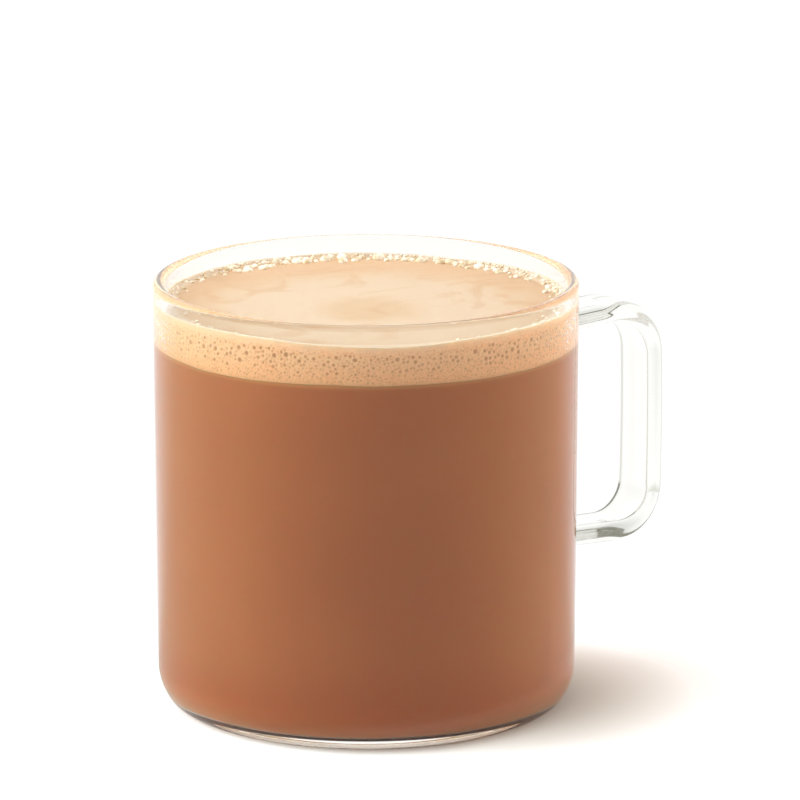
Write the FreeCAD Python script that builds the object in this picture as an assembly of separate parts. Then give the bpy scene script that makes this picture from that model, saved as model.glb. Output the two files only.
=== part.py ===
"""A caffe mocha in a straight-sided clear glass mug with a strap handle.

Three pieces, each one closed solid: the glass mug with its fused-on handle, the mocha that fills
it, and the layer of milk foam that floats on the mocha.

Frame: millimetres, +Z up. The origin is on the mug's axis, on the surface that the mug stands on.
The handle points along +X, and the mug is the same on both sides of the XZ plane.
"""

import FreeCAD, Part
import math
import os

# ---- mug body ------------------------------------------------------------------------------
rim_radius = 44.0  # outside, at the widest point of the lip
mug_height = 89.5
wall = 2.5  # glass thickness of the side; the lip is a full round of this width
wall_lean = 0.3  # degrees that the side leans in towards the base
heel_radius = 4.5  # outside round at the foot
heel_upper_radius = 11.1  # wider round from there up to the side
heel_height = 8.0  # where the straight side starts
sole = 2.7  # height of the drink's floor above the table
inner_heel_radius = 6.0  # round between the drink's floor and the side
foot_width = 2.2  # flat ring that the mug stands on
push_up = 0.8  # height of the shallow dome inside the foot ring

# ---- drink ---------------------------------------------------------------------------------
mocha_below_rim = 12.7  # where mocha and foam meet
foam_below_rim = 4.6  # foam surface, just inside its raised edge
foam_crown = 0.25  # how much higher the middle of the foam stands
foam_edge_rise = 1.1  # how far the foam climbs the glass
foam_edge_width = 2.8

# ---- handle --------------------------------------------------------------------------------
strap_width = 11.4
strap_thickness = 4.4
strap_edge_radius = 1.9
grip_reach = 28.2  # from the mug's widest radius to the strap's middle, at mid grip
grip_bow = 0.5  # how far the grip bulges outwards over its height
arm_splay = 2.75  # degrees: both arms spread apart on the way out
upper_arm_below_rim = 13.9  # rim to the strap's middle, at the grip
lower_arm_height = 26.4
upper_bend_radius = 10.6  # of the strap's middle line
lower_bend_radius = 9.2
root_fillet = 1.2  # glass drawn out round the ends of the strap, where it is fused on

# ---- worked out from these -----------------------------------------------------------------
lip_radius = wall / 2
lean = math.radians(wall_lean)
splay = math.radians(arm_splay)
mocha_level = mug_height - mocha_below_rim
foam_level = mug_height - foam_below_rim
foam_edge_level = foam_level + foam_edge_rise
upper_arm_height = mug_height - upper_arm_below_rim
grip_middle = (upper_arm_height + lower_arm_height) / 2
half_grip = (upper_arm_height - lower_arm_height) / 2


def at(r, z):
    """A point of the XZ plane, in which every outline is drawn."""
    return FreeCAD.Vector(r, 0, z)


def line(a, b):
    return Part.LineSegment(a, b).toShape()


def on_circle(centre, radius, angle):
    """The point of a circle at an angle in radians, counted from +X towards +Z."""
    return at(centre.x + radius * math.cos(angle), centre.z + radius * math.sin(angle))


def arc(centre, radius, start, end):
    """The arc of a circle between two angles in radians."""
    middle = (start + end) / 2
    points = [on_circle(centre, radius, angle) for angle in (start, middle, end)]
    return Part.Arc(*points).toShape()


def angle_of(way):
    return math.atan2(way.z, way.x)


def turned(edges):
    """The solid that a closed outline makes round the mug's axis, with its seam at the back."""
    face = Part.Face(Part.Wire(edges))
    up = FreeCAD.Vector(0, 0, 1)
    solid = face.revolve(at(0, 0), up, 360)
    solid.rotate(at(0, 0), up, 180)
    return solid


# ---- glass mug -----------------------------------------------------------------------------
lip_centre = at(rim_radius - lip_radius, mug_height - lip_radius)


def side_radius(z, inset=0):
    """Radius of the leaning side at height z: its outside, or its inside if inset is the wall."""
    middle = lip_centre.x - (lip_centre.z - z) * math.tan(lean)
    return middle + (lip_radius - inset) / math.cos(lean)


def heel_centre(inset, floor, radius):
    """Centre of the round that runs smoothly from a flat floor into the side."""
    z = floor + radius
    return at(side_radius(z, inset) - radius / math.cos(lean), z)


def outer_heel():
    """Centres of the tight round at the foot and of the wide one above it, and where they meet."""
    wide = at(side_radius(heel_height) - heel_upper_radius / math.cos(lean), heel_height)
    apart = heel_upper_radius - heel_radius
    tight = at(wide.x + math.sqrt(apart**2 - (heel_height - heel_radius) ** 2), heel_radius)
    return tight, wide, angle_of(tight - wide)


def blank():
    """The mug before it is hollowed out: foot, heel, side and a top closed over the lip."""
    tight, wide, turn = outer_heel()
    side_foot = on_circle(wide, heel_upper_radius, -lean)
    dome_edge = at(tight.x - foot_width, 0)
    top = at(0, mug_height)
    dome_radius = (dome_edge.x**2 + push_up**2) / (2 * push_up)
    dome_spread = math.asin(dome_edge.x / dome_radius)
    dome_centre = at(0, push_up - dome_radius)
    return turned(
        [
            arc(dome_centre, dome_radius, math.pi / 2, math.pi / 2 - dome_spread),
            line(dome_edge, at(tight.x, 0)),
            arc(tight, heel_radius, -math.pi / 2, turn),
            arc(wide, heel_upper_radius, turn, -lean),
            line(side_foot, on_circle(lip_centre, lip_radius, -lean)),
            arc(lip_centre, lip_radius, -lean, math.pi / 2),
            line(at(lip_centre.x, mug_height), top),
            line(top, at(0, push_up)),
        ]
    )


def inside_edges(side_top):
    """The floor, the inner heel and the inner side, from the axis up to the point side_top."""
    heel = heel_centre(wall, sole, inner_heel_radius)
    return [
        line(at(0, sole), at(heel.x, sole)),
        arc(heel, inner_heel_radius, -math.pi / 2, -lean),
        line(on_circle(heel, inner_heel_radius, -lean), side_top),
    ]


def hollow():
    """What is taken out of the blank: the mug's inside and the inner half of the round lip."""
    inner_lip = math.pi - lean
    top = at(0, mug_height)
    edges = inside_edges(on_circle(lip_centre, lip_radius, inner_lip))
    edges += [
        arc(lip_centre, lip_radius, inner_lip, math.pi / 2),
        line(at(lip_centre.x, mug_height), top),
        line(top, at(0, sole)),
    ]
    return turned(edges)


# ---- handle --------------------------------------------------------------------------------
grip_radius = (half_grip**2 + grip_bow**2) / (2 * grip_bow)
grip_centre = at(rim_radius + grip_reach - grip_radius, grip_middle)


def bend(side, radius):
    """Centre of the bend between an arm and the bowed grip, and the way that its arm runs out.

    side is 1 for the upper arm and -1 for the lower one. The centre lies on a line beside the
    arm, one bend radius away from it, where a circle round the grip's centre crosses that line.
    """
    corner = at(rim_radius + grip_reach - grip_bow, grip_middle + side * half_grip)
    outwards = at(math.cos(splay), side * math.sin(splay))
    inwards = at(math.sin(splay), -side * math.cos(splay))
    beside = corner + inwards * radius
    offset = beside - grip_centre
    along = offset.dot(outwards)
    reach = grip_radius - radius
    step = math.sqrt(along**2 - offset.dot(offset) + reach**2) - along
    return beside + outwards * step, outwards


def arm_root(centre, radius, side, outwards):
    """Where the arm's middle line starts, in the middle of the mug's wall."""
    end = on_circle(centre, radius, angle_of(outwards) + side * math.pi / 2)
    return end - outwards * ((end.x - lip_centre.x) / outwards.x), end


def strap_path():
    """The strap's middle line: upper arm, bend, bowed grip, bend and lower arm."""
    top, top_way = bend(1, upper_bend_radius)
    low, low_way = bend(-1, lower_bend_radius)
    top_root, top_end = arm_root(top, upper_bend_radius, 1, top_way)
    low_root, low_end = arm_root(low, lower_bend_radius, -1, low_way)
    top_turn = angle_of(top - grip_centre)
    low_turn = angle_of(low - grip_centre)
    quarter = math.pi / 2
    return Part.Wire(
        [
            line(top_root, top_end),
            arc(top, upper_bend_radius, splay + quarter, top_turn),
            arc(grip_centre, grip_radius, top_turn, low_turn),
            arc(low, lower_bend_radius, low_turn, -splay - quarter),
            line(low_end, low_root),
        ]
    )


def strap_section(path):
    """The strap's cross-section at the start of the path: a rectangle grown by its edge radius."""
    first = path.OrderedEdges[0]
    root = first.valueAt(first.FirstParameter)
    across = FreeCAD.Vector(0, 1, 0)
    through = first.tangentAt(first.FirstParameter).cross(across)
    edge_radius = min(strap_edge_radius, 0.45 * strap_thickness)
    half_width = across * (strap_width / 2 - edge_radius)
    half_depth = through * (strap_thickness / 2 - edge_radius)
    corners = [
        root + half_width + half_depth,
        root - half_width + half_depth,
        root - half_width - half_depth,
        root + half_width - half_depth,
    ]
    return Part.makePolygon(corners + corners[:1]).makeOffset2D(edge_radius)


def handle():
    path = strap_path()
    return path.makePipeShell([strap_section(path)], True, False)


def weld_edges(shape):
    """The edges where the strap meets the mug's outside."""
    found = []
    for edge in shape.Edges:
        box = edge.BoundBox
        middle = edge.valueAt((edge.FirstParameter + edge.LastParameter) / 2)
        off_side = math.hypot(middle.x, middle.y) - side_radius(middle.z)
        if box.XMin > 0 and box.YLength <= strap_width and abs(off_side) < 0.01:
            found.append(edge)
    return found


def glass_mug():
    joined = blank().fuse(handle())
    flared = joined.makeFillet(root_fillet, weld_edges(joined))
    return flared.cut(hollow())


# ---- drink ---------------------------------------------------------------------------------
def mocha():
    top = at(0, mocha_level)
    side_top = at(side_radius(mocha_level, wall), mocha_level)
    edges = inside_edges(side_top)
    edges += [line(side_top, top), line(top, at(0, sole))]
    return turned(edges)


def foam():
    """The foam: a faintly domed top whose edge climbs the glass."""
    low_side = at(side_radius(mocha_level, wall), mocha_level)
    high_side = at(side_radius(foam_edge_level, wall), foam_edge_level)
    toe = at(high_side.x - foam_edge_width, foam_level)
    climb_radius = (foam_edge_width**2 + foam_edge_rise**2) / (2 * foam_edge_rise)
    climb = math.asin(foam_edge_width / climb_radius)
    climb_centre = at(toe.x, toe.z + climb_radius)
    crown_radius = (toe.x**2 + foam_crown**2) / (2 * foam_crown)
    crown_spread = math.asin(toe.x / crown_radius)
    crown = at(0, foam_level + foam_crown)
    crown_centre = at(0, crown.z - crown_radius)
    down = -math.pi / 2
    return turned(
        [
            line(at(0, mocha_level), low_side),
            line(low_side, high_side),
            arc(climb_centre, climb_radius, down + climb, down),
            arc(crown_centre, crown_radius, math.pi / 2 - crown_spread, math.pi / 2),
            line(crown, at(0, mocha_level)),
        ]
    )


def main():
    os.makedirs("parts", exist_ok=True)
    pieces = {"glass_mug": glass_mug(), "mocha": mocha(), "foam": foam()}
    for name, shape in pieces.items():
        print(name, len(shape.Solids), "solid,", round(shape.Volume / 1000, 1), "cubic cm")
        shape.Solids[0].exportStep("parts/" + name + ".step")


main()
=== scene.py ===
import math
import random

import bmesh
import bpy
import numpy as np
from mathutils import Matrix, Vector


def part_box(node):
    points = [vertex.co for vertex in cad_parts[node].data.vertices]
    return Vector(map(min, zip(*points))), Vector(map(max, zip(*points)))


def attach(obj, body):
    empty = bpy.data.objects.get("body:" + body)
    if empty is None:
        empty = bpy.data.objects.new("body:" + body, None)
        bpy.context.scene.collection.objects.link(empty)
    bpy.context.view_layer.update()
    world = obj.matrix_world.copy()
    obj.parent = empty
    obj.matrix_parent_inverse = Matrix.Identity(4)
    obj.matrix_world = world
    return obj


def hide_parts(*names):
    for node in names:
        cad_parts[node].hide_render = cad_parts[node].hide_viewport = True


# A caffe mocha under a thick layer of milk foam, in a clear glass mug with a strap handle.
# Everything is in metres, +Z up, with the mug's axis on Z and the handle towards +X.
# The dictionaries below hold millimetres, degrees and hex colours, unless a note says otherwise.

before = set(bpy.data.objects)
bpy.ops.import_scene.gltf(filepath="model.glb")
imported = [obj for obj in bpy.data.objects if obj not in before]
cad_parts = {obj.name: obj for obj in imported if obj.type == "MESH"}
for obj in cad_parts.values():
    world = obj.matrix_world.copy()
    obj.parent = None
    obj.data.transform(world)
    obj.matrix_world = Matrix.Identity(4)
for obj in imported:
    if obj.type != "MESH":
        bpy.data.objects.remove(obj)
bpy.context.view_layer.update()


def mm(value):
    return value / 1000


def colour(code):
    # "#c89664" as the linear colour that a shader takes
    parts = [int(code[i : i + 2], 16) / 255 for i in (1, 3, 5)]
    linear = [p / 12.92 if p <= 0.04045 else ((p + 0.055) / 1.055) ** 2.4 for p in parts]
    return (*linear, 1.0)


def addNode(tree, kind, inputs=None, stops=(), **settings):
    # Adds a node. Of its inputs, a socket or another node is linked, and a hex colour, number or
    # vector is set. The stops of a ramp are pairs of a place from 0 to 1 and a hex colour.
    node = tree.nodes.new(kind)
    for name, value in settings.items():
        setattr(node, name, value)
    for name, value in (inputs or {}).items():
        if isinstance(value, bpy.types.Node):
            value = value.outputs[0]
        if isinstance(value, bpy.types.NodeSocket):
            tree.links.new(value, node.inputs[name])
        else:
            node.inputs[name].default_value = colour(value) if isinstance(value, str) else value
    if stops:
        elements = node.color_ramp.elements
        while len(elements) < len(stops):
            elements.new(0.5)
        for element, (place, code) in zip(elements, stops):
            element.position = place
            element.color = colour(code)
    return node


def newMaterial(name):
    material = bpy.data.materials.new(name)
    material.use_nodes = True
    tree = material.node_tree
    tree.nodes.clear()
    return material, tree


def showMesh(name, mesh, material):
    # puts a mesh into the scene as one smooth piece
    mesh.materials.append(material)
    mesh.shade_smooth()
    piece = bpy.data.objects.new(name, mesh)
    bpy.context.scene.collection.objects.link(piece)
    return piece


def newPiece(name, points, faces, material):
    # a piece from points and faces, with its faces turned outwards
    mesh = bpy.data.meshes.new(name)
    mesh.from_pydata(points, [], faces)
    work = bmesh.new()
    work.from_mesh(mesh)
    bmesh.ops.recalc_face_normals(work, faces=work.faces)
    work.to_mesh(mesh)
    work.free()
    return showMesh(name, mesh, material)


# sizes that the frame gives
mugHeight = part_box("glass_mug")[1].z
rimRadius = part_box("glass_mug")[1].y
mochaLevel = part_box("mocha")[1].z
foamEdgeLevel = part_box("foam")[1].z
mugMiddle = Vector((0, 0, mugHeight / 2))

cameraView = {
    "azimuth": -35.2,  # round the mug; 0 looks along +Y
    "elevation": 14.717,
    "distance": 1250,  # from the middle of the mug's axis
    "lens": 270.46,
    "sensor": 36,
    "aimRight": 7.03,  # from the middle of the axis to where the camera points
    "aimUp": 18.36,
}


def wayFrom(azimuth, elevation):
    # the way from the mug to something that stands at these angles
    turn, rise = math.radians(azimuth), math.radians(elevation)
    level = math.cos(rise)
    return Vector((math.sin(turn) * level, -math.cos(turn) * level, math.sin(rise)))


# level ways that the studio is laid out by
viewBack = -wayFrom(cameraView["azimuth"], 0)
viewRight = wayFrom(cameraView["azimuth"] + 90, 0)


def makeCamera():
    toCamera = wayFrom(cameraView["azimuth"], cameraView["elevation"])
    up = toCamera.cross(viewRight)
    data = bpy.data.cameras.new("camera")
    data.sensor_width = cameraView["sensor"]
    data.lens = cameraView["lens"]
    data.clip_start = 0.05
    data.clip_end = 20
    camera = bpy.data.objects.new("camera", data)
    bpy.context.scene.collection.objects.link(camera)
    camera.location = mugMiddle + toCamera * mm(cameraView["distance"])
    aim = mugMiddle + viewRight * mm(cameraView["aimRight"]) + up * mm(cameraView["aimUp"])
    camera.rotation_mode = "QUATERNION"
    camera.rotation_quaternion = (aim - camera.location).to_track_quat("-Z", "Y")
    bpy.context.scene.camera = camera


makeCamera()
print("camera placed")

glassMug = {
    "wall": 2.5,
    "lean": 0.3,  # degrees that the side leans in towards the base
    "heel": 4.5,  # outside round at the foot
    "upperHeel": 11.1,  # wider round from there up to the side
    "heelHeight": 8.0,  # where the straight side starts
    "sole": 2.7,  # height of the drink's floor
    "innerHeel": 6.0,
    "foot": 2.2,  # width of the ring that the mug stands on
    "pushUp": 0.8,  # height of the dome inside that ring
    "strapWidth": 11.4,
    "strapThickness": 4.4,
    "strapEdge": 1.9,
    "gripReach": 28.2,  # from the mug's side to the strap's middle, at mid grip
    "gripBow": 0.5,
    "upperArmBelowRim": 13.9,
    "lowerArmHeight": 26.4,
    "upperBend": 10.6,
    "lowerBend": 9.2,
    "armSplay": 2.75,  # degrees
    "rootFlare": 1.2,  # glass drawn out round the strap's ends
    "segments": 256,
    "outsideSteps": {"dome": 24, "foot": 4, "heel": 24, "upperHeel": 20, "side": 30, "lip": 24},
    "insideSteps": {"side": 30, "heel": 20, "floor": 16},
    "armSteps": 40,
    "armCrowding": 1.5,  # how much closer the steps lie near the mug
    "bendSteps": 24,
    "strapAround": 48,
    "tint": "#fdfdfa",
    "shadowTint": "#f6f6f2",
    "waveLength": 14,  # of the faint waves in its surface
    "waveDepth": 0.4,
    "waveStrength": 0.05,
}
wall = mm(glassMug["wall"])
lip = wall / 2
lean = math.radians(glassMug["lean"])
floorHeight = mm(glassMug["sole"])
innerHeel = mm(glassMug["innerHeel"])
quarter = math.pi / 2


def sideRadius(z, inset=0.0):
    # radius of the glass at a height: its outside, or its inside where inset is the wall
    middle = rimRadius - lip - (mugHeight - lip - z) * math.tan(lean)
    return middle + (lip - inset) / math.cos(lean)


def arcPoints(centre, radius, start, end, steps):
    turns = [start + (end - start) * k / steps for k in range(steps + 1)]
    return [(centre[0] + radius * math.cos(a), centre[1] + radius * math.sin(a)) for a in turns]


def straight(a, b, steps):
    # the points between two ends, without the ends
    return [
        (a[0] + (b[0] - a[0]) * k / steps, a[1] + (b[1] - a[1]) * k / steps)
        for k in range(1, steps)
    ]


def innerHeelCentre():
    # centre of the round between the drink's floor and the side
    z = floorHeight + innerHeel
    return (sideRadius(z, wall) - innerHeel / math.cos(lean), z)


def turnProfile(profile, segments):
    # points and faces of the closed skin that a profile makes, from axis to axis
    points = [(0, 0, profile[0][1])]
    for r, z in profile[1:-1]:
        for i in range(segments):
            angle = 2 * math.pi * i / segments
            points.append((r * math.cos(angle), r * math.sin(angle), z))
    points.append((0, 0, profile[-1][1]))
    rings = len(profile) - 2
    last = len(points) - 1
    top = 1 + (rings - 1) * segments
    faces = []
    for i in range(segments):
        j = (i + 1) % segments
        faces.append((0, 1 + j, 1 + i))
        for k in range(rings - 1):
            a = 1 + k * segments
            b = a + segments
            faces.append((a + i, a + j, b + j, b + i))
        faces.append((top + i, top + j, last))
    return points, faces


def makeGlass():
    # Borosilicate glass, blown in a mould and fire-polished: clear, colourless and mirror-bright,
    # with no marks but faint long waves that bend what shows through it. Shadow rays pass
    # straight through, so that the drink behind it is lit.
    material, tree = newMaterial("borosilicateGlass")
    place = addNode(tree, "ShaderNodeTexCoord").outputs["Object"]
    scale = 1 / mm(glassMug["waveLength"])
    waves = addNode(tree, "ShaderNodeTexNoise", {"Vector": place, "Scale": scale, "Detail": 1.0})
    bump = addNode(
        tree,
        "ShaderNodeBump",
        {
            "Height": waves,
            "Strength": glassMug["waveStrength"],
            "Distance": mm(glassMug["waveDepth"]),
        },
    )
    glass = addNode(
        tree,
        "ShaderNodeBsdfPrincipled",
        {
            "Base Color": glassMug["tint"],
            "Roughness": 0.0,
            "IOR": 1.473,
            "Transmission Weight": 1.0,
            "Normal": bump,
        },
    )
    clear = addNode(tree, "ShaderNodeBsdfTransparent", {"Color": glassMug["shadowTint"]})
    shadowRay = addNode(tree, "ShaderNodeLightPath").outputs["Is Shadow Ray"]
    mix = addNode(tree, "ShaderNodeMixShader", {0: shadowRay, 1: glass, 2: clear})
    addNode(tree, "ShaderNodeOutputMaterial", {"Surface": mix})
    return material


def glassProfile():
    # the mug's outline from the axis under the base, over the lip, to the axis on its floor
    heel, upper = mm(glassMug["heel"]), mm(glassMug["upperHeel"])
    high = mm(glassMug["heelHeight"])
    steps, inside = glassMug["outsideSteps"], glassMug["insideSteps"]
    wide = (sideRadius(high) - upper / math.cos(lean), high)
    tight = (wide[0] + math.sqrt((upper - heel) ** 2 - (high - heel) ** 2), heel)
    turn = math.atan2(tight[1] - wide[1], tight[0] - wide[0])
    footIn = tight[0] - mm(glassMug["foot"])
    push = mm(glassMug["pushUp"])
    domeRadius = (footIn**2 + push**2) / (2 * push)
    spread = math.asin(footIn / domeRadius)
    domeCentre = (0, push - domeRadius)
    profile = arcPoints(domeCentre, domeRadius, quarter, quarter - spread, steps["dome"])
    profile += straight((footIn, 0), (tight[0], 0), steps["foot"])
    profile += arcPoints(tight, heel, -quarter, turn, steps["heel"])[:-1]
    profile += arcPoints(wide, upper, turn, -lean, steps["upperHeel"])
    lipCentre = (rimRadius - lip, mugHeight - lip)
    lipStart = (lipCentre[0] + lip * math.cos(lean), lipCentre[1] - lip * math.sin(lean))
    profile += straight(profile[-1], lipStart, steps["side"])
    profile += arcPoints(lipCentre, lip, -lean, math.pi - lean, steps["lip"])
    centre = innerHeelCentre()
    innerTop = (
        centre[0] + innerHeel * math.cos(lean),
        centre[1] - innerHeel * math.sin(lean),
    )
    profile += straight(profile[-1], innerTop, inside["side"])
    profile += arcPoints(centre, innerHeel, -lean, -quarter, inside["heel"])
    profile += straight(profile[-1], (0, floorHeight), inside["floor"])
    profile.append((0, floorHeight))
    return profile


def strapPath():
    # the strap's middle line in the XZ plane, with the way that it runs at each point
    reachOut = rimRadius + mm(glassMug["gripReach"])
    bow = mm(glassMug["gripBow"])
    high = mugHeight - mm(glassMug["upperArmBelowRim"])
    low = mm(glassMug["lowerArmHeight"])
    middle, half = (high + low) / 2, (high - low) / 2
    gripRadius = (half**2 + bow**2) / (2 * bow)
    grip = Vector((reachOut - gripRadius, middle))
    splay = math.radians(glassMug["armSplay"])

    def bend(side, radius):
        # a bend between arm and grip: its centre, where the arm ends, its root and its way out
        corner = Vector((reachOut - bow, middle + side * half))
        out = Vector((math.cos(splay), side * math.sin(splay)))
        inward = Vector((math.sin(splay), -side * math.cos(splay)))
        beside = corner + inward * radius
        offset = beside - grip
        along = offset.dot(out)
        step = math.sqrt(along**2 - offset.dot(offset) + (gripRadius - radius) ** 2) - along
        centre = beside + out * step
        end = centre - inward * radius
        root = end - out * ((end.x - (rimRadius - lip)) / out.x)
        return centre, end, root, out

    upper, lower = mm(glassMug["upperBend"]), mm(glassMug["lowerBend"])
    top, topEnd, topRoot, topOut = bend(1, upper)
    bottom, lowEnd, lowRoot, lowOut = bend(-1, lower)
    topTurn = math.atan2((top - grip).y, (top - grip).x)
    lowTurn = math.atan2((bottom - grip).y, (bottom - grip).x)
    bendSteps, armSteps = glassMug["bendSteps"], glassMug["armSteps"]
    crowding = glassMug["armCrowding"]
    path = []

    def addArc(centre, radius, start, end):
        for k in range(1, bendSteps + 1):
            a = start + (end - start) * k / bendSteps
            cos, sin = math.cos(a), math.sin(a)
            path.append((centre.x + radius * cos, centre.y + radius * sin, sin, -cos))

    for k in range(armSteps + 1):
        point = topRoot.lerp(topEnd, (k / armSteps) ** crowding)
        path.append((point.x, point.y, topOut.x, topOut.y))
    addArc(top, upper, splay + quarter, topTurn)
    addArc(grip, gripRadius, topTurn, lowTurn)
    addArc(bottom, lower, lowTurn, -splay - quarter)
    for k in range(1, armSteps + 1):
        point = lowEnd.lerp(lowRoot, 1 - (1 - k / armSteps) ** crowding)
        path.append((point.x, point.y, -lowOut.x, -lowOut.y))
    return path


def strapSection():
    # points of the rounded cross-section and their outward ways: across Y, and through the strap
    radius = mm(glassMug["strapEdge"])
    w = mm(glassMug["strapWidth"]) / 2 - radius
    t = mm(glassMug["strapThickness"]) / 2 - radius
    steps = glassMug["strapAround"] // 4
    section = []
    for cornerY, cornerT, start in ((w, t, 0), (-w, t, 1), (-w, -t, 2), (w, -t, 3)):
        for k in range(steps):
            a = (start + k / (steps - 1)) * quarter
            cos, sin = math.cos(a), math.sin(a)
            section.append((cornerY + radius * cos, cornerT + radius * sin, cos, sin))
    return section


def strapMesh():
    # the section swept along the path; near the mug it grows by the flare of the fused glass
    section = strapSection()
    flare = mm(glassMug["rootFlare"])
    points = []
    path = strapPath()
    for x, z, wayX, wayZ in path:
        onArm = abs(wayX) > 0.5
        outX, outZ = -wayZ, wayX
        for y, t, growY, growT in section:
            px, pz = x + outX * t, z + outZ * t
            surface = math.sqrt(max(sideRadius(pz) ** 2 - y * y, 0.0))
            gap = max(px - surface, 0.0)
            grow = 0.0
            if gap < flare and onArm:
                grow = flare - math.sqrt(flare**2 - (flare - gap) ** 2)
            across, through = growY * grow, growT * grow
            points.append((px + outX * through, y + across, pz + outZ * through))
    count = len(section)
    faces = []
    for k in range(len(path) - 1):
        for i in range(count):
            j = (i + 1) % count
            a, b = k * count, (k + 1) * count
            faces.append((a + i, a + j, b + j, b + i))
    faces.append(tuple(range(count))[::-1])
    faces.append(tuple(range((len(path) - 1) * count, len(path) * count)))
    return points, faces


def makeMug():
    # mug and strap are welded into one skin, so that no face is left inside the glass
    glass = makeGlass()
    mug = newPiece("mugGlass", *turnProfile(glassProfile(), glassMug["segments"]), glass)
    strap = newPiece("strap", *strapMesh(), glass)
    weld = mug.modifiers.new("weld", "BOOLEAN")
    weld.operation = "UNION"
    weld.solver = "EXACT"
    weld.object = strap
    graph = bpy.context.evaluated_depsgraph_get()
    joined = bpy.data.meshes.new_from_object(mug.evaluated_get(graph))
    mug.modifiers.clear()
    mug.data = joined
    mug.data.shade_smooth()
    bpy.data.objects.remove(strap)
    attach(mug, "root")
    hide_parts("glass_mug")


makeMug()
print("glass mug made")

mochaFill = {
    "reach": 0.08,  # how far the drink goes into the wall, so that no air shows between them
    "bevel": 0.04,  # at its upper edge
    "edgeWave": 0.16,  # how far the line between mocha and foam wanders up and down
    "waveDepth": 3,  # below which the drink's mesh stays level
    "segments": 384,
    "floorSteps": 30,
    "heelSteps": 24,
    "sideSteps": 24,
    "topSteps": 12,
    "brown": [(0.3, "#a8572f"), (0.7, "#ae5e34")],
    "cloudSize": 30,  # of faint clouds where the coffee isn't quite stirred in
    "nearFoam": "#d8935f",  # where foam and mocha mix
    "nearFoamShare": 0.7,
    "nearFoamBand": (-1.1, 0.3),  # from the mocha's upper face
    "scatterDepth": 3,
    "bloom": (0.5, 1.0),  # sheen at the heel and above it
    "bloomBand": (6, 20),  # heights between which it grows
    "bloomTint": "#fff0ac",
    "mirrorIndex": 0.91,  # milk's refractive index over glass's
    "mirrorHeight": 25,  # height that the stops below reach to
    # how much of the mirroring is left up the side: less from the heel to half of that height
    "mirror": [(0.12, "#ffffff"), (0.17, "#5a5a5a"), (0.5, "#5a5a5a"), (0.9, "#ffffff")],
}
reach = mm(mochaFill["reach"])


def ripple(angle, seed, waves=(3, 5, 8, 13, 21), falls=0.75):
    # an uneven line round the mug, from about -1 to 1, that closes on itself
    draw = random.Random(seed)
    total, weight = 0.0, 0.0
    for k in waves:
        share = k**-falls
        total = total + share * np.sin(k * angle + draw.uniform(0, 2 * math.pi))
        weight += share
    return total / weight * 1.8  # the waves seldom add up, so their sum is stretched


def hollowAt(angle, turn, width):
    # 1 where angle is at turn, falling smoothly to almost 0 at twice the width
    away = np.abs((np.degrees(angle) - turn + 180) % 360 - 180)
    return np.exp(-0.5 * (away / width) ** 2)


def boundaryLevel(angle):
    # where mocha and foam meet at the glass
    return mochaLevel + mm(mochaFill["edgeWave"]) * ripple(angle, 4)


def makeMochaStuff():
    # Espresso, melted chocolate and steamed milk, poured and at rest: opaque brown with faint
    # clouds, paler just below the foam. Fine fat droplets scatter light under its skin and give
    # the side a soft bloom. At a grazing angle the wetted wall mirrors what stands beside it.
    material, tree = newMaterial("milkyMocha")
    place = addNode(tree, "ShaderNodeTexCoord").outputs["Object"]
    height = addNode(tree, "ShaderNodeSeparateXYZ", {0: place}).outputs["Z"]
    scale = 1 / mm(mochaFill["cloudSize"])
    clouds = addNode(
        tree,
        "ShaderNodeTexNoise",
        {"Vector": place, "Scale": scale, "Detail": 2.0, "Roughness": 0.4},
    )
    body = addNode(tree, "ShaderNodeValToRGB", {"Fac": clouds}, mochaFill["brown"])
    low, high = mochaFill["nearFoamBand"]
    nearFoam = addNode(
        tree,
        "ShaderNodeMapRange",
        {"Value": height, "From Min": mochaLevel + mm(low), "From Max": mochaLevel + mm(high)},
        interpolation_type="SMOOTHSTEP",
    )
    share = addNode(
        tree,
        "ShaderNodeMath",
        {0: nearFoam, 1: mochaFill["nearFoamShare"]},
        operation="MULTIPLY",
    )
    tone = addNode(
        tree,
        "ShaderNodeMix",
        {0: share, 6: body, 7: mochaFill["nearFoam"]},
        data_type="RGBA",
    ).outputs[2]
    skins = []
    for bloom in mochaFill["bloom"]:
        skin = addNode(
            tree,
            "ShaderNodeBsdfPrincipled",
            {
                "Base Color": tone,
                "Roughness": 0.5,
                "Specular IOR Level": 0.0,
                "Subsurface Weight": 1.0,
                "Subsurface Radius": (1.0, 0.35, 0.2),
                "Subsurface Scale": mm(mochaFill["scatterDepth"]),
                "Sheen Weight": bloom,
                "Sheen Roughness": 0.52,
                "Sheen Tint": mochaFill["bloomTint"],
            },
        )
        skins.append(skin)
    low, high = mochaFill["bloomBand"]
    aboveHeel = addNode(
        tree,
        "ShaderNodeMapRange",
        {"Value": height, "From Min": mm(low), "From Max": mm(high)},
        interpolation_type="SMOOTHSTEP",
    )
    milk = addNode(tree, "ShaderNodeMixShader", {0: aboveHeel, 1: skins[0], 2: skins[1]})
    mirror = addNode(tree, "ShaderNodeBsdfGlossy", {"Color": "#ffffff", "Roughness": 0.0})
    grazing = addNode(tree, "ShaderNodeFresnel", {"IOR": mochaFill["mirrorIndex"]})
    upSide = addNode(
        tree,
        "ShaderNodeMapRange",
        {"Value": height, "From Max": mm(mochaFill["mirrorHeight"])},
    )
    clean = addNode(tree, "ShaderNodeValToRGB", {"Fac": upSide}, mochaFill["mirror"])
    mirrored = addNode(tree, "ShaderNodeMath", {0: grazing, 1: clean}, operation="MULTIPLY")
    mix = addNode(tree, "ShaderNodeMixShader", {0: mirrored, 1: milk, 2: mirror})
    addNode(tree, "ShaderNodeOutputMaterial", {"Surface": mix})
    return material


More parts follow.
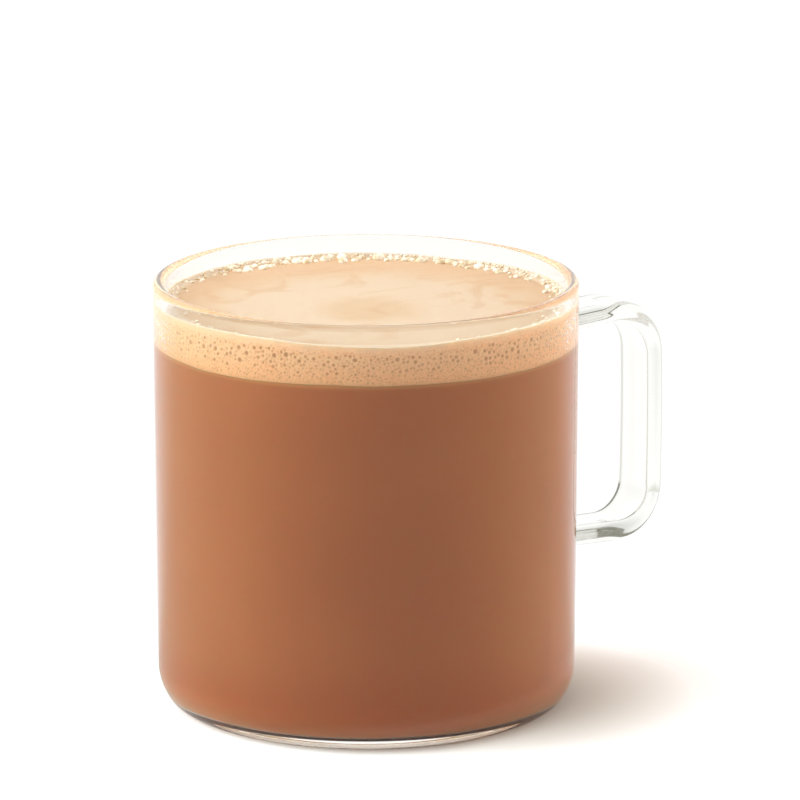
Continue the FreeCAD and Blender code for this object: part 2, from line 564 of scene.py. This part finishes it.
def makeMocha():
    centre = innerHeelCentre()
    low = floorHeight - reach
    topRadius = sideRadius(mochaLevel, wall) + reach
    bevel = mm(mochaFill["bevel"])
    belowBevel = (topRadius, mochaLevel - bevel)
    profile = [(0, low)]
    profile += straight((0, low), (centre[0], low), mochaFill["floorSteps"])
    profile += arcPoints(centre, innerHeel + reach, -quarter, -lean, mochaFill["heelSteps"])
    profile += straight(profile[-1], belowBevel, mochaFill["sideSteps"])
    profile += [belowBevel, (topRadius, mochaLevel), (topRadius - bevel, mochaLevel)]
    profile += straight(profile[-1], (0, mochaLevel), mochaFill["topSteps"])
    profile.append((0, mochaLevel))
    points, faces = turnProfile(profile, mochaFill["segments"])
    depth = mm(mochaFill["waveDepth"])
    lifted = []
    for x, y, z in points:
        share = max(0.0, (z - mochaLevel + depth) / depth)
        share *= min(1.0, math.hypot(x, y) / rimRadius)
        wave = boundaryLevel(math.atan2(y, x)) - mochaLevel
        lifted.append((x, y, z + share * wave))
    piece = newPiece("mochaFill", lifted, faces, makeMochaStuff())
    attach(piece, "root")
    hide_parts("mocha")


makeMocha()
print("mocha poured")

foamLayer = {
    "reach": 0.048,  # into the wall, a little less than the mocha
    "overlap": 0.4,  # hidden below the mocha's upper edge
    "edgeRise": 1.1,  # how far the foam climbs the glass
    "edgeWidth": 2.8,
    "edgeWave": 0.18,  # how far its upper line wanders up and down
    "edgeDrop": 0.2,  # how far that line lies below the solid's edge
    "crown": 0.25,  # how much higher the middle stands
    "dip": 0.9,  # how far the edge sags in front
    "dipTurn": 236,  # round from the handle
    "dipWidth": 17,
    "swirlHeight": 0.05,
    "sideSegments": 1440,
    "topSegments": 480,
    "sideRows": 50,
    "edgeRings": 10,
    "topRings": 36,
    "holes": [
        # how many, least and most diameter, and between which shares of the foam's height
        (60, 0.85, 1.1, 0.42, 0.72),
        (420, 0.55, 0.85, 0.3, 0.78),
        (1300, 0.36, 0.55, 0.12, 0.8),
        (2600, 0.24, 0.36, 0.06, 0.86),
    ],
    "holeApart": 1.12,  # distance between two holes, over the sum of their radii
    "holeDepth": 0.5,  # over the radius
    "holeTries": 12,
    # the holes' coffee-tinted brown: partly the coffee film that lines them, partly painted shade
    "holeFilmAndShadeTone": "#cf9a68",
    "holeFilmAndShadeShare": 0.8,
    "frothSize": 0.42,
    "frothBand": (0.05, 0.35),  # of the froth's texture, from its dark middles outwards
    "frothShare": 0.3,
    "frothTone": "#c08f62",
    "grainSize": 2.4,
    "driftSize": 16,  # of the slow swirls in the coffee's stain
    "pitDepth": 0.12,
    "pitStrength": 0.35,
    "scatterDepth": 1.6,
    "toneWobble": 0.16,  # how far the side's tones wander up and down, as its height value
    "sideTones": [
        # from the mocha (0) over the upper edge (0.5) to the foot of its climb (1)
        (0.0, "#ffb884"),
        (0.07, "#ffc190"),
        (0.28, "#ffcc9f"),
        (0.38, "#fdcfa2"),
        (0.43, "#f6d3ac"),
        (0.49, "#e0c6aa"),
        (0.55, "#c5af9a"),
        (0.65, "#c1ab96"),
        (0.8, "#c8b19a"),
        (1.0, "#b69c86"),
    ],
    "topTones": [
        # from the middle of the rings to the edge
        (0.0, "#b6997c"),
        (0.1, "#ba9f85"),
        (0.2, "#bca48c"),
        (0.6, "#bba28a"),
        (0.85, "#b99a7d"),
        (1.0, "#b99677"),
    ],
    "ringCentre": (-5, -8),
    "ringBand": (14, 46),  # distances from that centre where the tones start and end
    "ringDrift": 14,  # how far the rings are drawn out of round
    "veinBand": (0.54, 0.66),
    "veinShare": 0.4,
    "veinTone": "#ae8a69",
}


def foamRadius(z):
    # radius of the foam's side at a height
    return sideRadius(z, wall) + mm(foamLayer["reach"])


def edgeLevel(angle):
    # how high the foam stands at the glass
    sag = mm(foamLayer["dip"]) * hollowAt(angle, foamLayer["dipTurn"], foamLayer["dipWidth"])
    wander = mm(foamLayer["edgeWave"]) * ripple(angle, 9)
    return foamEdgeLevel - mm(foamLayer["edgeDrop"]) + wander - sag


def foamSurface(x, y):
    # height of the foam's top away from the glass
    far = np.hypot(x, y)
    toe = sideRadius(foamEdgeLevel, wall) - mm(foamLayer["edgeWidth"])
    level = foamEdgeLevel - mm(foamLayer["edgeRise"])
    level = level + mm(foamLayer["crown"]) * np.clip(1 - (far / toe) ** 2, 0, 1)
    # slow swirls: waves 24 and 30 mm long, bent by longer ones of 70 and 52 mm
    swirl = np.sin(x * 260 + 3 * np.sin(y * 90) + 1.0) * np.sin(y * 210 - 2 * np.sin(x * 120))
    return level + mm(foamLayer["swirlHeight"]) * swirl


def scatterHoles():
    # places on the foam's side that don't overlap: turn, share of the height, radius
    draw = random.Random(21)
    cells = {}
    placed = []
    height = foamEdgeLevel - mochaLevel
    around = 2 * math.pi * rimRadius
    pitch = mm(1.4)  # of the grid that finds neighbours; wider than any two holes need
    apart = foamLayer["holeApart"]
    for count, small, large, low, high in foamLayer["holes"]:
        for _ in range(count):
            for _ in range(foamLayer["holeTries"]):
                radius = mm(draw.uniform(small, large)) / 2
                u = draw.uniform(0, around)
                v = draw.uniform(low, high) * height
                cell = (int(u / pitch), int(v / pitch))
                near = [
                    other
                    for du in (-1, 0, 1)
                    for dv in (-1, 0, 1)
                    for other in cells.get((cell[0] + du, cell[1] + dv), ())
                ]
                if all(math.hypot(u - a, v - b) > (radius + c) * apart for a, b, c in near):
                    cells.setdefault(cell, []).append((u, v, radius))
                    placed.append((u / around * 2 * math.pi, v / height, radius))
                    break
    return placed


def sinkHoles(angles, shares):
    # two grids over the foam's side: how deep it is, and how much coffee film and painted shade
    # the holes get inside
    depth = np.zeros((len(shares), len(angles)))
    filmAndShadeGrid = np.zeros((len(shares), len(angles)))
    height = foamEdgeLevel - mochaLevel
    segments = len(angles)
    for turn, share, radius in scatterHoles():
        reachTurn = int(radius / (rimRadius * 2 * math.pi / segments)) + 2
        middle = int(round(turn / (2 * math.pi) * segments))
        columns = np.arange(middle - reachTurn, middle + reachTurn + 1) % segments
        rows = np.nonzero(np.abs(shares - share) * height < radius * 1.3)[0]
        if len(rows) == 0:
            continue
        du = (angles[columns] - turn + math.pi) % (2 * math.pi) - math.pi
        dv = (shares[rows] - share) * height
        away = np.hypot(du[None, :] * rimRadius, dv[:, None]) / radius
        inside = np.sqrt(np.clip(1 - away**2, 0, 1))
        # small holes get less painted shade than large ones
        filmAndShadeHere = np.clip(inside * 1.3, 0, 1) * min(1.0, 0.35 + radius / mm(0.6))
        grid = np.ix_(rows, columns)
        depth[grid] = np.maximum(depth[grid], inside * radius * foamLayer["holeDepth"])
        filmAndShadeGrid[grid] = np.maximum(filmAndShadeGrid[grid], filmAndShadeHere)
    depth[0] = 0
    depth[-1] = 0
    return depth, filmAndShadeGrid


def foamRings(angles):
    # rings over the top from the glass inwards: x, y, z and the height value of each
    rings = []
    outer = foamRadius(foamEdgeLevel)
    width = mm(foamLayer["edgeWidth"])
    edge = edgeLevel(angles)
    for k in range(1, foamLayer["edgeRings"] + 1):
        t = k / foamLayer["edgeRings"]
        r = outer - width * t
        x, y = r * np.cos(angles), r * np.sin(angles)
        inner = foamSurface(x, y)
        rings.append((x, y, inner + (edge - inner) * (1 - t) ** 2, 1 + t))
    for k in range(1, foamLayer["topRings"]):
        r = (outer - width) * (1 - k / foamLayer["topRings"])
        x, y = r * np.cos(angles), r * np.sin(angles)
        rings.append((x, y, foamSurface(x, y), 2.0))
    return rings


def makeFoam():
    # Each point also carries two values for the material. Its height is 0 at the mocha, 1 at the
    # upper edge and 2 on the open top; its hole value, the holes' coffee film and painted shade,
    # grows with how deep in a hole it lies.
    sideCount, topCount = foamLayer["sideSegments"], foamLayer["topSegments"]
    rows = foamLayer["sideRows"]
    angles = np.arange(sideCount) * 2 * math.pi / sideCount
    shares = np.linspace(0, 1, rows + 1)
    depth, filmAndShadeGrid = sinkHoles(angles, shares)
    low = boundaryLevel(angles) - mm(foamLayer["overlap"])
    high = edgeLevel(angles)
    points, faces, height, holeFilmAndShade = [], [], [], []

    def addPoints(x, y, z, place, filmAndShadeValues):
        points.extend(zip(x, y, z))
        height.extend([place] * len(x))
        holeFilmAndShade.extend(filmAndShadeValues)

    def addBand(start, count, rings):
        for k in range(rings):
            a, b = start + k * count, start + (k + 1) * count
            for i in range(count):
                j = (i + 1) % count
                faces.append((a + i, a + j, b + j, b + i))

    for k, share in enumerate(shares):
        z = low + (high - low) * share
        r = np.array([foamRadius(v) for v in z]) - depth[k]
        addPoints(r * np.cos(angles), r * np.sin(angles), z, share, filmAndShadeGrid[k])
    addBand(0, sideCount, rows)

    # the side's fine edge meets the coarser rings of the top
    step = sideCount // topCount
    start = len(points)
    rings = foamRings(angles[::step])
    for x, y, z, place in rings:
        addPoints(x, y, z, place, [0.0] * topCount)
    upperEdge = rows * sideCount
    for i in range(topCount):
        fine = [upperEdge + (i * step + s) % sideCount for s in range(step + 1)]
        faces.append((*fine, start + (i + 1) % topCount, start + i))
    addBand(start, topCount, len(rings) - 1)

    centre = len(points)
    addPoints([0], [0], [float(foamSurface(np.array(0.0), np.array(0.0)))], 2.0, [0.0])
    last = start + (len(rings) - 1) * topCount
    for i in range(topCount):
        faces.append((last + i, last + (i + 1) % topCount, centre))
    under = len(points)
    addPoints([0], [0], [mochaLevel - mm(foamLayer["overlap"])], 0.0, [0.0])
    for i in range(sideCount):
        faces.append((under, (i + 1) % sideCount, i))

    piece = newPiece("foamLayer", points, faces, makeFoamStuff())
    for name, values in (("height", height), ("holeFilmAndShade", holeFilmAndShade)):
        layer = piece.data.attributes.new(name, "FLOAT", "POINT")
        layer.data.foreach_set("value", np.array(values, dtype=np.float32))
    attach(piece, "root")
    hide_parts("foam")
    print("foam faces", len(faces))


def makeFoamStuff():
    # Steamed milk foam, poured on slowly and stained by the coffee: matt, soft and full of small
    # bubbles. Those cut open by the glass show as darker holes, lined with a coffee film and
    # darkened further by painted shade; light spreads under the skin, and slow rings and veins of
    # coffee lie on top. The finest froth is drawn at 0.42 mm, coarser than it is, so that it
    # shows.
    material, tree = newMaterial("milkFoam")
    place = addNode(tree, "ShaderNodeTexCoord").outputs["Object"]
    height = addNode(tree, "ShaderNodeAttribute", attribute_name="height").outputs["Fac"]
    holeFilmAndShade = addNode(tree, "ShaderNodeAttribute", attribute_name="holeFilmAndShade").outputs["Fac"]
    scale = 1 / mm(foamLayer["frothSize"])
    froth = addNode(
        tree, "ShaderNodeTexVoronoi", {"Vector": place, "Scale": scale, "Randomness": 1.0}
    )
    scale = 1 / mm(foamLayer["grainSize"])
    grain = addNode(
        tree,
        "ShaderNodeTexNoise",
        {"Vector": place, "Scale": scale, "Detail": 4.0, "Roughness": 0.65},
    )
    scale = 1 / mm(foamLayer["driftSize"])
    drift = addNode(
        tree,
        "ShaderNodeTexNoise",
        {"Vector": place, "Scale": scale, "Detail": 3.0, "Distortion": 1.6},
    )

    # the side and the climbing edge
    wobble = foamLayer["toneWobble"]
    shift = addNode(
        tree,
        "ShaderNodeMath",
        {0: grain, 1: wobble, 2: -wobble / 2},
        operation="MULTIPLY_ADD",
    )
    level = addNode(tree, "ShaderNodeMath", {0: height, 1: shift}, operation="ADD")
    halved = addNode(tree, "ShaderNodeMath", {0: level, 1: 0.5}, operation="MULTIPLY")
    side = addNode(tree, "ShaderNodeValToRGB", {"Fac": halved}, foamLayer["sideTones"])

    # the open top
    x, y = foamLayer["ringCentre"]
    fromCentre = addNode(
        tree,
        "ShaderNodeVectorMath",
        {0: place, 1: (1, 1, 0), 2: (-mm(x), -mm(y), 0)},
        operation="MULTIPLY_ADD",
    )
    far = addNode(tree, "ShaderNodeVectorMath", {0: fromCentre}, operation="LENGTH")
    swept = addNode(
        tree,
        "ShaderNodeMath",
        {0: drift, 1: mm(foamLayer["ringDrift"]), 2: far.outputs["Value"]},
        operation="MULTIPLY_ADD",
    )
    inner, outer = foamLayer["ringBand"]
    outwards = addNode(
        tree, "ShaderNodeMapRange", {"Value": swept, "From Min": mm(inner), "From Max": mm(outer)}
    )
    rings = addNode(tree, "ShaderNodeValToRGB", {"Fac": outwards}, foamLayer["topTones"])
    low, high = foamLayer["veinBand"]
    veins = addNode(
        tree,
        "ShaderNodeMapRange",
        {"Value": drift, "From Min": low, "From Max": high, "To Max": foamLayer["veinShare"]},
    )
    top = addNode(
        tree,
        "ShaderNodeMix",
        {0: veins, 6: rings, 7: foamLayer["veinTone"]},
        data_type="RGBA",
    ).outputs[2]
    onTop = addNode(
        tree, "ShaderNodeMapRange", {"Value": height, "From Min": 1.5, "From Max": 2.0}
    )

    # the holes' coffee film and painted shade, and froth, which fade out towards the top
    holeFilmAndShadeMix = addNode(
        tree, "ShaderNodeMath", {0: holeFilmAndShade, 1: foamLayer["holeFilmAndShadeShare"]}, operation="MULTIPLY"
    )
    low, high = foamLayer["frothBand"]
    specks = addNode(
        tree,
        "ShaderNodeMapRange",
        {
            "Value": froth,
            "From Min": low,
            "From Max": high,
            "To Min": foamLayer["frothShare"],
            "To Max": 0.0,
        },
    )
    onSide = addNode(
        tree,
        "ShaderNodeMapRange",
        {"Value": height, "From Min": 0.75, "From Max": 1.0, "To Min": 1.0, "To Max": 0.25},
    )
    specked = addNode(tree, "ShaderNodeMath", {0: specks, 1: onSide}, operation="MULTIPLY")
    tone = side
    layers = (
        (onTop, top),
        (holeFilmAndShadeMix, foamLayer["holeFilmAndShadeTone"]),
        (specked, foamLayer["frothTone"]),
    )
    for share, over in layers:
        tone = addNode(
            tree, "ShaderNodeMix", {0: share, 6: tone, 7: over}, data_type="RGBA"
        ).outputs[2]

    relief = addNode(tree, "ShaderNodeMath", {0: froth, 1: grain}, operation="ADD")
    bump = addNode(
        tree,
        "ShaderNodeBump",
        {
            "Height": relief,
            "Strength": foamLayer["pitStrength"],
            "Distance": mm(foamLayer["pitDepth"]),
        },
    )
    shader = addNode(
        tree,
        "ShaderNodeBsdfPrincipled",
        {
            "Base Color": tone,
            "Roughness": 0.65,
            "Specular IOR Level": 0.25,
            "Subsurface Weight": 1.0,
            "Subsurface Radius": (1.0, 1.0, 1.0),
            "Subsurface Scale": mm(foamLayer["scatterDepth"]),
            "Normal": bump,
        },
    )
    addNode(tree, "ShaderNodeOutputMaterial", {"Surface": shader})
    return material


makeFoam()
print("foam laid")

ringBubbles = {
    "count": 250,
    "small": 0.6,  # across
    "large": 3.0,
    "turn": 54,  # round from the handle to the thickest of the chain
    "spread": 48,
    "chainShare": 0.7,  # the rest lies loose round the rim
    "chainFine": 0.8,  # the higher, the more of them are small
    "chainInset": 1.3,  # how far they stray from the glass
    "looseTurn": -12,  # from the chain's middle
    "looseSpread": 55,
    "looseFine": 3.0,
    "looseInset": 1.4,
    "flatness": (0.62, 0.8),  # height over width, least and most
    "sunk": 0.4,  # share of the radius that sits in the foam
    "spacing": 0.95,  # distance between two, over the sum of their radii
    "roundness": 3,  # subdivisions of each ball
    "tones": [(0.36, "#cbb48e"), (0.58, "#f6ecdd")],
    "toneSize": 1.6,
    "shadowTint": "#fff6e8",
    "skinStrength": 0.1,
    "skinDepth": 0.1,
}


def makeBubbleStuff():
    # Milk bubbles, blown by the steam and drifted to the rim: a thin wet skin round air and white
    # froth, smooth and cream-white, with a bright spot where each catches the light.
    material, tree = newMaterial("milkBubble")
    place = addNode(tree, "ShaderNodeTexCoord").outputs["Object"]
    scale = 1 / mm(ringBubbles["toneSize"])
    shades = addNode(tree, "ShaderNodeTexNoise", {"Vector": place, "Scale": scale})
    tone = addNode(tree, "ShaderNodeValToRGB", {"Fac": shades}, ringBubbles["tones"])
    bump = addNode(
        tree,
        "ShaderNodeBump",
        {
            "Height": shades,
            "Strength": ringBubbles["skinStrength"],
            "Distance": mm(ringBubbles["skinDepth"]),
        },
    )
    shader = addNode(
        tree,
        "ShaderNodeBsdfPrincipled",
        {
            "Base Color": tone,
            "Roughness": 0.05,
            "IOR": 1.33,
            "Transmission Weight": 0.12,
            "Normal": bump,
        },
    )
    clear = addNode(tree, "ShaderNodeBsdfTransparent", {"Color": ringBubbles["shadowTint"]})
    shadowRay = addNode(tree, "ShaderNodeLightPath").outputs["Is Shadow Ray"]
    mix = addNode(tree, "ShaderNodeMixShader", {0: shadowRay, 1: shader, 2: clear})
    addNode(tree, "ShaderNodeOutputMaterial", {"Surface": mix})
    return material


def foamHeight(x, y):
    # the foam's surface anywhere: the top, and its edge that climbs the glass
    t = (foamRadius(foamEdgeLevel) - math.hypot(x, y)) / mm(foamLayer["edgeWidth"])
    base = float(foamSurface(np.array(x), np.array(y)))
    if t >= 1:
        return base
    return base + (float(edgeLevel(np.array(math.atan2(y, x)))) - base) * (1 - max(t, 0)) ** 2


def makeBubbles():
    # a broken chain of large and small ones on one side, and loose small ones all round
    draw = random.Random(5)
    work = bmesh.new()
    inner = sideRadius(foamEdgeLevel, wall)
    middle, spread = ringBubbles["turn"], ringBubbles["spread"]
    small, large = ringBubbles["small"], ringBubbles["large"]
    tries = ringBubbles["count"] * 8
    placed = []
    while tries and len(placed) < ringBubbles["count"]:
        tries -= 1
        if draw.random() < ringBubbles["chainShare"]:
            turn = middle + draw.uniform(-1, 1) * spread
            fine, stray = ringBubbles["chainFine"], ringBubbles["chainInset"]
        else:
            turn = middle + draw.gauss(ringBubbles["looseTurn"], ringBubbles["looseSpread"])
            fine, stray = ringBubbles["looseFine"], ringBubbles["looseInset"]
        # the largest sit in the middle of the chain
        largest = 0.3 + 0.7 * hollowAt(math.radians(turn), middle, spread * 0.8)
        size = draw.random() ** fine * largest
        radius = mm(small + (large - small) * size) / 2
        inset = abs(draw.gauss(0, stray))
        r = inner - radius * 0.9 - mm(inset)
        x, y = r * math.cos(math.radians(turn)), r * math.sin(math.radians(turn))
        spacing = ringBubbles["spacing"]
        if any(math.hypot(x - a, y - b) < (radius + c) * spacing for a, b, c in placed):
            continue
        placed.append((x, y, radius))
        flat = draw.uniform(*ringBubbles["flatness"])
        lift = radius * flat * (0.5 - ringBubbles["sunk"])
        place = Vector((x, y, foamHeight(x, y) + lift))
        ball = bmesh.ops.create_icosphere(
            work, subdivisions=ringBubbles["roundness"], radius=radius
        )
        for vert in ball["verts"]:
            vert.co = Vector((vert.co.x, vert.co.y, vert.co.z * flat)) + place
    mesh = bpy.data.meshes.new("ringBubbles")
    work.to_mesh(mesh)
    work.free()
    piece = showMesh("ringBubbles", mesh, makeBubbleStuff())
    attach(piece, "root")
    print("bubbles", len(placed), "faces", len(mesh.polygons))


makeBubbles()
print("bubbles blown")

studio = {
    "floorSize": 6000,
    "lampDistance": 800,
    "lamps": [
        # name, turn from the camera and elevation, size, watts and colour
        ("keyLamp", -70, 50, 900, 7.0, "#edfcff"),
        ("sideLamp", -96, 12, 700, 9.6, "#edfcff"),
        ("fillLamp", 115, 15, 700, 8.0, "#ffffff"),
    ],
    "roomFront": 0.7,  # strength of the world's light from the camera's side
    "roomBack": 0.85,  # and from behind the mug
    "roomBand": (-0.5, 0.7),  # cosines of the turn from the back, from the one to the other
    "roomTint": "#fff6ed",
    "cardLight": 1.06,  # strength of the white card that glass shows
    "roomFlag": "#70705f",  # what it shows where the card ends, in the room
    "floorFlag": "#dcdcd5",  # and on the floor
    "roomEdge": 0.12,  # cosine of the turn from the back where the card starts
    "floorEdge": 0.42,
    "cardSoft": 0.4,
    "ceilingBand": (0.45, 0.85),  # sines of the elevation between which the card dims
    "ceilingShare": 0.7,
    "shadeShift": 12,  # how far the paper round the mug, with its real shadow, leans to the right; the painted shade centres twice as far
    "shadeBand": (52, 90),  # distances between which its paper turns to plain white
    "glassBand": (42, 58),  # and the same where glass shows it
    "paintedShadeReach": 100,  # distance that the stops of the painted shade below reach to
    # grey paper tones painted round the mug: a painted shadow that deepens the real one
    "paintedShadeTones": [(0.18, "#b6b2ab"), (0.25, "#c8c5be"), (0.35, "#e1dfdb"), (0.45, "#f4f4f3")],
}


def shownByGlass(tree):
    # 1 for rays that show in a mirror or through glass, before any matt bounce
    path = addNode(tree, "ShaderNodeLightPath").outputs
    glassy = addNode(
        tree,
        "ShaderNodeMath",
        {0: path["Is Glossy Ray"], 1: path["Is Transmission Ray"]},
        operation="MAXIMUM",
    )
    direct = addNode(
        tree, "ShaderNodeMath", {0: path["Diffuse Depth"], 1: 0.5}, operation="LESS_THAN"
    )
    return addNode(tree, "ShaderNodeMath", {0: glassy, 1: direct}, operation="MULTIPLY")


def whiteCard(tree, place, flag, edge):
    # a white card behind the mug, with dark flags beside it and in front, as for any clear glass
    level = addNode(tree, "ShaderNodeVectorMath", {0: place, 1: (1, 1, 0)}, operation="MULTIPLY")
    way = addNode(tree, "ShaderNodeVectorMath", {0: level}, operation="NORMALIZE")
    facing = addNode(
        tree, "ShaderNodeVectorMath", {0: way, 1: viewBack}, operation="DOT_PRODUCT"
    ).outputs["Value"]
    card = addNode(
        tree,
        "ShaderNodeMapRange",
        {"Value": facing, "From Min": edge, "From Max": edge + studio["cardSoft"]},
        interpolation_type="SMOOTHSTEP",
    )
    height = addNode(tree, "ShaderNodeSeparateXYZ", {0: place}).outputs["Z"]
    low, high = studio["ceilingBand"]
    ceiling = addNode(
        tree,
        "ShaderNodeMapRange",
        {
            "Value": height,
            "From Min": low,
            "From Max": high,
            "To Min": 1.0,
            "To Max": studio["ceilingShare"],
        },
        interpolation_type="SMOOTHSTEP",
    )
    shown = addNode(tree, "ShaderNodeMath", {0: card, 1: ceiling}, operation="MULTIPLY")
    return addNode(
        tree, "ShaderNodeMix", {0: shown, 6: flag, 7: "#ffffff"}, data_type="RGBA"
    ).outputs[2]


def makeFloorStuff():
    # A sweep of matt white paper, smooth and plain. Near the mug it carries a painted shadow,
    # grey paper tones that deepen the real shade of the base, and from there it glows white, so
    # that floor and background are one.
    material, tree = newMaterial("paperSweep")
    place = addNode(tree, "ShaderNodeTexCoord").outputs["Object"]
    byGlass = shownByGlass(tree)
    card = whiteCard(tree, place, studio["floorFlag"], studio["floorEdge"])
    white = addNode(
        tree, "ShaderNodeMix", {0: byGlass, 6: "#ffffff", 7: card}, data_type="RGBA"
    ).outputs[2]
    glow = addNode(
        tree, "ShaderNodeEmission", {"Color": white, "Strength": studio["cardLight"]}
    )

    # distances from a point beside the mug, round which the paper gives way to the glow, and from
    # one as far again to the right, round which the painted shade lies
    aside = viewRight * mm(studio["shadeShift"])
    shifted = addNode(tree, "ShaderNodeVectorMath", {0: place, 1: aside}, operation="SUBTRACT")
    far = addNode(tree, "ShaderNodeVectorMath", {0: shifted}, operation="LENGTH")
    again = addNode(tree, "ShaderNodeVectorMath", {0: shifted, 1: aside}, operation="SUBTRACT")
    farAgain = addNode(tree, "ShaderNodeVectorMath", {0: again}, operation="LENGTH")
    outwards = addNode(
        tree,
        "ShaderNodeMapRange",
        {"Value": farAgain.outputs["Value"], "From Max": mm(studio["paintedShadeReach"])},
    )
    # painted shade: the paper is greyed near the mug
    paintedShade = addNode(tree, "ShaderNodeValToRGB", {"Fac": outwards}, studio["paintedShadeTones"])
    paper = addNode(tree, "ShaderNodeBsdfDiffuse", {"Color": paintedShade})
    fades = []
    for low, high in (studio["shadeBand"], studio["glassBand"]):
        fade = addNode(
            tree,
            "ShaderNodeMapRange",
            {"Value": far.outputs["Value"], "From Min": mm(low), "From Max": mm(high)},
            interpolation_type="SMOOTHSTEP",
        )
        fades.append(fade)
    inGlass = addNode(tree, "ShaderNodeMath", {0: fades[1], 1: byGlass}, operation="MULTIPLY")
    plain = addNode(tree, "ShaderNodeMath", {0: fades[0], 1: inGlass}, operation="MAXIMUM")
    mix = addNode(tree, "ShaderNodeMixShader", {0: plain, 1: paper, 2: glow})
    addNode(tree, "ShaderNodeOutputMaterial", {"Surface": mix})
    return material


def makeFloor():
    size = mm(studio["floorSize"]) / 2
    corners = [(-size, -size, 0), (size, -size, 0), (size, size, 0), (-size, size, 0)]
    floor = newPiece("studioFloor", corners, [(0, 1, 2, 3)], makeFloorStuff())


def addLamp(name, turn, elevation, size, power, code):
    # a round soft lamp that glass doesn't mirror
    toLamp = wayFrom(cameraView["azimuth"] + turn, elevation)
    data = bpy.data.lights.new(name, "AREA")
    data.shape = "DISK"
    data.size = mm(size)
    data.energy = power
    data.color = colour(code)[:3]
    lamp = bpy.data.objects.new(name, data)
    bpy.context.scene.collection.objects.link(lamp)
    lamp.location = mugMiddle + toLamp * mm(studio["lampDistance"])
    lamp.rotation_mode = "QUATERNION"
    lamp.rotation_quaternion = (-toLamp).to_track_quat("-Z", "Y")
    lamp.visible_glossy = False
    lamp.visible_transmission = False


def makeWorld():
    # plain white to the camera, a card with flags to glass, and soft room light to all else
    world = bpy.data.worlds.new("studioWorld")
    bpy.context.scene.world = world
    world.use_nodes = True
    tree = world.node_tree
    tree.nodes.clear()
    way = addNode(tree, "ShaderNodeTexCoord").outputs["Generated"]
    facing = addNode(
        tree, "ShaderNodeVectorMath", {0: way, 1: viewBack}, operation="DOT_PRODUCT"
    ).outputs["Value"]
    low, high = studio["roomBand"]
    strength = addNode(
        tree,
        "ShaderNodeMapRange",
        {
            "Value": facing,
            "From Min": low,
            "From Max": high,
            "To Min": studio["roomFront"],
            "To Max": studio["roomBack"],
        },
        interpolation_type="SMOOTHSTEP",
    )
    room = addNode(
        tree, "ShaderNodeBackground", {"Color": studio["roomTint"], "Strength": strength}
    )
    card = whiteCard(tree, way, studio["roomFlag"], studio["roomEdge"])
    mirrored = addNode(
        tree, "ShaderNodeBackground", {"Color": card, "Strength": studio["cardLight"]}
    )
    white = addNode(tree, "ShaderNodeBackground", {"Color": "#ffffff", "Strength": 1.0})
    light = addNode(tree, "ShaderNodeMixShader", {0: shownByGlass(tree), 1: room, 2: mirrored})
    cameraRay = addNode(tree, "ShaderNodeLightPath").outputs["Is Camera Ray"]
    mix = addNode(tree, "ShaderNodeMixShader", {0: cameraRay, 1: light, 2: white})
    addNode(tree, "ShaderNodeOutputWorld", {"Surface": mix})


makeFloor()
for lamp in studio["lamps"]:
    addLamp(*lamp)
makeWorld()
scene = bpy.context.scene
scene.view_settings.view_transform = "Standard"
scene.cycles.max_bounces = 24
scene.cycles.transmission_bounces = 20
scene.cycles.glossy_bounces = 16
print("studio lit")
